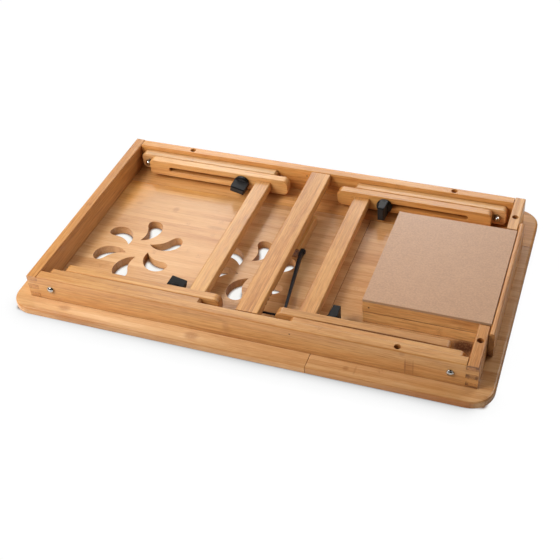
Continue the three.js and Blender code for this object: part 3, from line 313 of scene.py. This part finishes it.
def bamboo(
    name, seed, tones, tint, along, strip, layer, contrast, figure, grain, gloss, polish, ends, arris
):
    """Laminated bamboo, its fibres along one axis and its strips and layers across the others."""
    material, g = new_material("bamboo_" + name)
    coordinates = g.node("TexCoord")
    place = g.node("VectorMath", operation="SCALE")
    g.put(place.inputs[0], coordinates.outputs["Object"])
    g.put(place.inputs["Scale"], MM_PER_M)
    place = place.outputs[0]
    x, y, z = g.split(place)
    run, across = (x, y) if along == "x" else (y, x)
    wander = g.noise(g.vector(g.math("MULTIPLY", run, WANDER_RATE), seed, 0.0))
    lane = g.math("ADD", across, g.math("MULTIPLY", wander, WANDER))
    lane = g.math("DIVIDE", g.math("ADD", lane, seed * SHIFT_OF_PIECE), strip)
    strip_number = g.math("FLOOR", lane)
    layer_number = g.math("FLOOR", g.math("DIVIDE", z, layer))
    own_place = g.vector(strip_number, layer_number, seed)
    own = g.node("TexWhiteNoise", {"Vector": own_place}, noise_dimensions="3D")
    chance = own.outputs["Value"]
    own_colour = g.split(own.outputs["Color"])
    own_shift = g.math("MULTIPLY", chance, SHIFT_OF_STRIP)

    def streaks(lengthwise, crosswise, detail):
        """Noise drawn out along the fibres, another stretch of it in each strip."""
        spot = g.vector(
            g.math("ADD", g.math("MULTIPLY", run, lengthwise), own_shift),
            g.math("MULTIPLY", across, crosswise),
            g.math("ADD", g.math("MULTIPLY", z, crosswise), seed),
        )
        return g.noise(spot, detail=detail, roughness=GRAIN_ROUGHNESS)

    slow = streaks(*SLOW_STREAKS)
    middle = streaks(*MIDDLE_STREAKS)
    fine = streaks(*FINE_STREAKS)
    tone = 0.5
    for amount, value in ((contrast, chance), (SLOW_AMOUNT, slow), (figure, middle), (grain, fine)):
        tone = g.math("ADD", tone, g.math("MULTIPLY", g.math("SUBTRACT", value, 0.5), amount))
    # the tint per piece: partly its own colour, partly painted light and shade
    tones = [[t * k for t, k in zip(one, tint)] for one in tones]
    ramp = g.node("ValToRGB", {"Fac": tone})
    stops = ramp.color_ramp.elements
    stops[0].position, stops[0].color = TONE_STOPS[0], rgb(*tones[0])
    stops[1].position, stops[1].color = TONE_STOPS[2], rgb(*tones[2])
    stops.new(TONE_STOPS[1]).color = rgb(*tones[1])
    colour = ramp.outputs[0]

    # redder bands, and sparse dark fibres
    redness = g.smooth(streaks(*BAND_STREAKS), BAND_FROM, BAND_FULL)
    redness = g.math("MULTIPLY", redness, figure * BAND_AMOUNT)
    colour = g.mix(redness, colour, rgb(*REDDER), "MULTIPLY")
    fibres = g.smooth(streaks(*FIBRE_STREAKS), FIBRE_FROM, FIBRE_FULL)
    colour = g.mix(g.math("MULTIPLY", fibres, figure * FIBRE_AMOUNT), colour, rgb(*NODE_TONE))

    # the joints of the culm: a short band across each strip, at a place of its own
    spot = g.math("ADD", run, g.math("MULTIPLY", own_colour["X"], NODE_SPACING))
    spot = g.math("MODULO", g.math("ADD", spot, FAR_AWAY), NODE_SPACING)
    off = g.math("ABSOLUTE", g.math("SUBTRACT", spot, NODE_SPACING / 2))
    blot_place = g.vector(g.math("MULTIPLY", run, BLOT_ALONG), g.math("MULTIPLY", across, BLOT_ACROSS), z)
    blots = g.noise(blot_place)
    has_joint = g.smooth(own_colour["Y"], NODE_FROM, NODE_ALL)
    band = g.math("MULTIPLY", g.smooth(off, NODE_OUTER, NODE_INNER), has_joint)
    band = g.math("MULTIPLY", band, g.smooth(blots, BLOT_FROM, BLOT_FULL))
    colour = g.mix(g.math("MULTIPLY", band, NODE_AMOUNT), colour, rgb(*NODE_TONE))

    marks = [(NODE_TONE, *mark) for mark in MARKS.get(name, ())]
    # the nearly black places: painted shadow and shade, and dark finger ends
    marks += [(PORE_TONE, *stain_or_shadow) for stain_or_shadow in STAINS_AND_SHADOWS.get(name, ())]
    for mark_tone, centre, half, strength in marks:
        mark = g.math("MULTIPLY", g.spot(place, centre, half), strength)
        mark = g.math("MULTIPLY", mark, g.smooth(blots, *MARK_BREAKUP))
        colour = g.mix(mark, colour, rgb(*mark_tone))

    # painted light and shade on the board
    for centre, half, light_and_shade_tint in LIGHT_AND_SHADE_PATCHES.get(name, ()):
        colour = g.mix(g.spot(place, centre, half), colour, rgb(*light_and_shade_tint), "MULTIPLY")

    # thin glue lines between the strips
    edge = g.math("ABSOLUTE", g.math("SUBTRACT", g.math("SUBTRACT", lane, strip_number), 0.5))
    glue = g.math("MULTIPLY", g.smooth(edge, GLUE_FROM, GLUE_FULL), GLUE_AMOUNT)
    colour = g.mix(glue, colour, rgb(*NODE_TONE))

    # sawn ends, darkest along their border
    facing = g.node("VectorMath", operation="DOT_PRODUCT")
    g.put(facing.inputs[0], coordinates.outputs["Normal"])
    facing.inputs[1].default_value = (1, 0, 0) if along == "x" else (0, 1, 0)
    end = g.smooth(g.math("ABSOLUTE", facing.outputs["Value"]), END_FROM, END_FULL)
    pores = g.noise(place, scale=PORE_RATE, roughness=GRAIN_ROUGHNESS)
    end_colour = g.mix(g.smooth(pores, PORE_FROM, PORE_FULL), rgb(*PORE_TONE), rgb(*END_TONE))
    colour = g.mix(g.math("MULTIPLY", end, ends), colour, end_colour)
    border = g.math("MULTIPLY", g.math("MULTIPLY", g.rim(END_BORDER), end), min(1.0, ends * 2.0))
    border = g.math("MULTIPLY", border, g.smooth(pores, END_BORDER_FROM, END_BORDER_FULL))
    colour = g.mix(border, colour, rgb(*PORE_TONE))

    for centre, radius in PINS.get(name, ()):
        distance = g.node("VectorMath", operation="DISTANCE")
        g.put(distance.inputs[0], place)
        distance.inputs[1].default_value = centre
        dot = g.smooth(distance.outputs["Value"], radius * PIN_OUTER, radius * PIN_INNER)
        colour = g.mix(dot, colour, rgb(*PORE_TONE))

    # rounded arrises get painted shade and are a little less glossy
    slanting = g.slanting(coordinates)
    colour = g.mix(g.math("MULTIPLY", slanting, ARRIS_SHADE), colour, rgb(*ARRIS_SHADE_TINT), "MULTIPLY")
    matt = g.math("MULTIPLY", slanting, ARRIS_MATTNESS)
    gloss = g.math("MULTIPLY", gloss, g.math("SUBTRACT", 1.0, matt))
    # painted shade where nearby faces close the bamboo in
    colour = g.crevice_shade(colour, CREVICE_REACH, 0.0, CREVICE_CLEAR, CREVICE_SHADE_TINT)
    roughness = g.smooth(fine, *GRAIN_RANGE, polish, polish + POLISH_SPREAD)
    finish_material(g, colour, roughness, fine, RELIEF, arris, **{"Specular IOR Level": gloss})
    return material


# ---------------------------------------------------------------- other materials (noise per m)
HARDBOARD_TONES = ((0.406, 0.211, 0.102), (0.520, 0.278, 0.139))
HARDBOARD_EDGE = (0.48, 0.29, 0.165)
HARDBOARD_CLOUDS, CLOUD_AMOUNT = 110.0, 0.22
HARDBOARD_FLECKS, FLECK_AMOUNT = 430.0, 0.88
MOTTLE_RANGE = (0.36, 0.72)
PLASTIC_GRAIN = 2600.0
PLASTIC_DARK, PLASTIC_LIGHT = (0.018, 0.0171, 0.01692), (0.034, 0.0323, 0.03128)
# painted shade on the knobs' sharp borders and rounded faces: width (mm), strength and colour; and the
# gloss there
PLASTIC_BORDER, PLASTIC_BORDER_AMOUNT = 2.2, 0.85
PLASTIC_BORDER_SHADE = (0.003, 0.003, 0.003)
PLASTIC_GLOSS, PLASTIC_BORDER_GLOSS = 0.22, 0.05
STEEL_GRAIN = 1500.0
STEEL_TONES = ((0.008, 0.008, 0.009), (0.018, 0.018, 0.020))
METAL_WEAR = 320.0
# painted shade on the metal where nearby faces close it in: reach (mm), range and colour
METAL_CREVICE_SHADE = (9, 0.15, 0.85, (0.10, 0.08, 0.06))
# relief and rounding in mm
HARDBOARD_FINISH = (0.06, 0.12)
PLASTIC_FINISH = (0.03, 0.6)
STEEL_FINISH = (0.02, 0.5)
METAL_FINISH = (0.01, 0.4)


def hardboard():
    material, g = new_material("hardboard")
    coordinates = g.node("TexCoord")
    place = coordinates.outputs["Object"]
    cloud = g.noise(place, scale=HARDBOARD_CLOUDS, detail=3.0)
    fleck = g.noise(place, scale=HARDBOARD_FLECKS, detail=3.0, roughness=0.75)
    mottle = g.math("MULTIPLY", cloud, CLOUD_AMOUNT)
    mottle = g.math("ADD", mottle, g.math("MULTIPLY", fleck, FLECK_AMOUNT))
    dark, light = HARDBOARD_TONES
    face = g.mix(g.smooth(mottle, *MOTTLE_RANGE), rgb(*dark), rgb(*light))
    level = g.math("ABSOLUTE", g.split(coordinates.outputs["Normal"])["Z"])
    colour = g.mix(g.smooth(level, 0.7, 0.3), face, rgb(*HARDBOARD_EDGE))
    finish_material(g, colour, 0.40, fleck, *HARDBOARD_FINISH, **{"Specular IOR Level": 1.0})
    return material


def plastic(painted_light):
    material, g = new_material("black_plastic")
    coordinates = g.node("TexCoord")
    grain = g.noise(coordinates.outputs["Object"], scale=PLASTIC_GRAIN)
    # painted light and shade: the colour and the gloss are scaled per knob
    dark, light = [rgb(*[v * painted_light for v in tone]) for tone in (PLASTIC_DARK, PLASTIC_LIGHT)]
    colour = g.mix(grain, dark, light)
    # painted shade and less gloss on the borders and rounded faces of the knobs
    border = g.math("MAXIMUM", g.rim(PLASTIC_BORDER), g.slanting(coordinates))
    amount = g.math("MULTIPLY", border, PLASTIC_BORDER_AMOUNT)
    colour = g.mix(amount, colour, rgb(*PLASTIC_BORDER_SHADE))
    gloss = g.smooth(border, 0.0, 1.0, PLASTIC_GLOSS * painted_light, PLASTIC_BORDER_GLOSS)
    roughness = g.smooth(grain, *GRAIN_RANGE, 0.42, 0.54)
    finish_material(g, colour, roughness, grain, *PLASTIC_FINISH, **{"Specular IOR Level": gloss})
    return material


def painted_steel():
    material, g = new_material("black_steel")
    place = g.node("TexCoord").outputs["Object"]
    grain = g.noise(place, scale=STEEL_GRAIN)
    dark, light = STEEL_TONES
    colour = g.mix(grain, rgb(*dark), rgb(*light))
    roughness = g.smooth(grain, *GRAIN_RANGE, 0.30, 0.42)
    finish_material(g, colour, roughness, grain, *STEEL_FINISH, **{"Specular IOR Level": 0.2})
    return material


def metal(name, dark, light, smooth_at, rough_at):
    material, g = new_material(name)
    place = g.node("TexCoord").outputs["Object"]
    wear = g.noise(place, scale=METAL_WEAR, detail=3.0)
    # painted shade where nearby faces close the metal in
    colour = g.crevice_shade(g.mix(wear, rgb(*dark), rgb(*light)), *METAL_CREVICE_SHADE)
    roughness = g.smooth(wear, *GRAIN_RANGE, smooth_at, rough_at)
    finish_material(g, colour, roughness, wear, *METAL_FINISH, **{"Metallic": 1.0})
    return material


SHARED = {
    "hardboard": hardboard(),
    "black_steel": painted_steel(),
    "bright_steel": metal("bright_steel", (0.42, 0.40, 0.37), (0.62, 0.60, 0.56), 0.08, 0.16),
    "brass": metal("brass", (0.50, 0.36, 0.16), (0.68, 0.52, 0.27), 0.24, 0.38),
}

# strip and layer sizes and the rounding of the arrises in mm
BOARD = {
    "tones": BOARD_TONES, "tint": (1, 1, 1), "along": "x", "strip": 6.8, "layer": 30.0, "contrast": 0.22,
    "figure": 0.40, "grain": 0.55, "gloss": 0.34, "polish": 0.18, "ends": 0.35, "arris": 0.25,
}
RAIL = {
    "tones": FRAME_TONES, "tint": (1, 1, 1), "along": "x", "strip": 12.6, "layer": 15.4, "contrast": 0.25,
    "figure": 0.85, "grain": 0.85, "gloss": 0.63, "polish": 0.28, "ends": 0.20, "arris": 0.35,
}
CROSS = {**RAIL, "along": "y", "strip": 12.8, "layer": 11.0, "figure": 0.75, "gloss": 0.69, "arris": 0.6}
LEG = {**CROSS, "along": "x", "strip": 11.5}
# the drawer and runner tints are mostly painted light: they make these pieces lighter and paler where
# they stand deep in the frame
DRAWER = {**RAIL, "tint": (1.21, 1.32, 1.50)}
RUNNER = {**LEG, "tint": (1.40, 1.65, 1.95)}
# tints per piece: partly each piece's own colour, partly painted light and shade for how light falls on
# it; the strongest, on the front outer legs, the front end block, the drawer and the runners, are painted
# light
BAMBOO = {
    "front_strip": {**BOARD, "tint": (1.10, 1.0, 0.78)},
    "fixed_top": {**BOARD, "tint": (0.95, 0.94, 0.93)},
    "tilting_top": BOARD,
    "rear_rail": {**RAIL, "tint": (0.95, 0.99, 1.06)},
    "front_rail": {**RAIL, "tint": (1.11, 1.09, 0.95)},
    "left_rail": {**RAIL, "along": "y", "ends": 0.22},
    "rear_end_block": {**RAIL, "tint": (0.97, 0.94, 0.88), "along": "y", "layer": 31.0, "ends": 0.25},
    "front_end_block": {**RAIL, "tint": (1.15, 1.27, 1.50), "along": "y", "layer": 31.0, "ends": 0.35},
    "divider": {**CROSS, "tint": (1.04, 1.04, 0.94)},
    "crossbar_left": {**CROSS, "tint": (1.07, 1.16, 1.18)},
    "crossbar_right": {**CROSS, "tint": (1.04, 1.07, 1.05)},
    "prop_block": {**CROSS, "tint": (1.12, 1.22, 1.14), "ends": 0.90},
    "runner_rear": RUNNER,
    "runner_front": RUNNER,
    "drawer_side_rear": DRAWER,
    "drawer_side_front": DRAWER,
    "drawer_back": {**DRAWER, "along": "y"},
    "drawer_front": {
        **RAIL, "tint": (1.05, 1.07, 1.12), "along": "y", "strip": 8.0, "layer": 26.0, "ends": 0.40,
    },
    "outer_leg_left_rear": {**LEG, "tint": (0.92, 1.0, 1.15)},
    "inner_leg_left_rear": {**LEG, "tint": (1.0, 1.07, 1.12)},
    "outer_leg_left_front": {**LEG, "tint": (1.15, 1.40, 1.85)},
    "inner_leg_left_front": {**LEG, "tint": (1.24, 1.40, 1.52)},
    "outer_leg_right_rear": {**LEG, "tint": (1.0, 1.06, 1.15)},
    "inner_leg_right_rear": {**LEG, "tint": (0.93, 0.98, 1.0)},
    "outer_leg_right_front": {**LEG, "tint": (1.20, 1.38, 1.75)},
    "inner_leg_right_front": {**LEG, "tint": (1.07, 1.07, 0.94)},
}

# painted light and shade per knob: the black plastic is darker and less glossy on the rear knobs, as
# painted shade, and lighter on the front left one, as painted light
KNOB_PAINTED_LIGHT = {
    "clamp_knob_left_rear": 0.60,
    "clamp_knob_right_rear": 0.60,
    "clamp_knob_left_front": 1.25,
    "clamp_knob_right_front": 1.0,
}

slots = {name: o.data.materials[0].name.split(".")[0] for name, o in nodes.items()}
for number, (name, piece) in enumerate(sorted(nodes.items())):
    if name in BAMBOO:
        material = bamboo(name, number * SEED_OF_PIECE, **BAMBOO[name])
    elif name in KNOB_PAINTED_LIGHT:
        material = plastic(KNOB_PAINTED_LIGHT[name])
    else:
        material = SHARED[slots[name]]
    piece.data.materials.clear()
    piece.data.materials.append(material)


# ---------------------------------------------------------------- floor and background
FLOOR_SIZE = 6000
FLOOR_DROP = 0.3                    # below the table, mm
FLOOR_SHADE = 0.75                  # darkness of the contact shade
FLOOR_SHADE_REACH = 26
FLOOR_SHADE_SAMPLES = 16
PAPER = (0.80, 0.80, 0.80)
PAPER_GRAIN = 30.0
# where the contact shade changes (m) and its strength on both sides of that
SHADE_BY_DEPTH = (-0.120, -0.170, 0.25, 1.0)
SHADE_BY_LEFT = (-0.300, 0.050, 0.5, 1.0)
SHADE_BY_RIGHT = (0.275, 0.240, 0.3, 1.0)
# the paper under the table: its outline (m), the reach (mm) and range of the painted brown shade at the
# foot of the vent walls, and the colours of that shade and of the painted warm light
UNDER_X, UNDER_Y = (0.274, 0.268), (0.162, 0.156)
VENT_REACH, VENT_FROM, VENT_FULL = 5, 0.48, 0.95
VENT_SHADE, VENT_WARM_LIGHT = (0.20, 0.10, 0.05), (1.0, 0.985, 0.95)


def white_floor():
    """White paper: it looks evenly white but for a soft contact shade, strongest on the near side."""
    material, g = new_material("floor")
    place = g.node("TexCoord").outputs["Object"]
    parts = g.split(place)
    x, y = parts["X"], parts["Y"]
    openness = g.openness(FLOOR_SHADE_REACH, FLOOR_SHADE_SAMPLES)
    near = g.smooth(y, *SHADE_BY_DEPTH)
    near = g.math("MULTIPLY", near, g.smooth(x, *SHADE_BY_LEFT))
    near = g.math("MULTIPLY", near, g.smooth(x, *SHADE_BY_RIGHT))
    shade = g.math("MULTIPLY", g.math("SUBTRACT", 1.0, openness), g.math("MULTIPLY", near, FLOOR_SHADE))
    grain = g.smooth(g.noise(place, scale=PAPER_GRAIN), 0.0, 1.0, 1.0, 1.02)
    white = g.math("SUBTRACT", grain, shade)
    white = g.node("CombineColor", {"Red": white, "Green": white, "Blue": white}).outputs[0]
    # seen through the vents the paper gets painted warm light, and painted brown shade at the foot of
    # their walls
    within_x = g.smooth(g.math("ABSOLUTE", x), *UNDER_X)
    within_y = g.smooth(g.math("ABSOLUTE", y), *UNDER_Y)
    vent_light_mask = g.smooth(g.openness(VENT_REACH), VENT_FROM, VENT_FULL)
    vent_painted_colour = g.mix(1.0, white, g.mix(vent_light_mask, rgb(*VENT_SHADE), rgb(*VENT_WARM_LIGHT)), "MULTIPLY")
    white = g.mix(g.math("MULTIPLY", within_x, within_y), white, vent_painted_colour)
    paper = g.node("BsdfDiffuse", {"Color": rgb(*PAPER)}).outputs[0]
    seen = g.node("Emission", {"Color": white}).outputs[0]
    both = g.node("MixShader", {0: g.node("LightPath").outputs["Is Camera Ray"], 1: paper, 2: seen})
    g.node("OutputMaterial", {"Surface": both.outputs[0]})
    return material


half = FLOOR_SIZE / 2 * MM
sheet = bpy.data.meshes.new("floor")
corners = [(-half, -half, 0), (half, -half, 0), (half, half, 0), (-half, half, 0)]
sheet.from_pydata(corners, [], [(0, 1, 2, 3)])
floor = bpy.data.objects.new("floor", sheet)
floor.location.z = -FLOOR_DROP * MM
sheet.materials.append(white_floor())
scene.collection.objects.link(floor)

world = bpy.data.worlds.new("sky")
world.use_nodes = True
scene.world = world
sky = Graph(world.node_tree)
path = sky.node("LightPath").outputs
seen = sky.math("MAXIMUM", path["Is Camera Ray"], path["Is Transmission Ray"])
strength = sky.smooth(seen, 0.0, 1.0, SKY_STRENGTH, 1.0)
backdrop = sky.node("Background", {"Color": rgb(1, 1, 1), "Strength": strength})
sky.node("OutputWorld", {"Surface": backdrop.outputs[0]})

scene.view_settings.view_transform = "Standard"
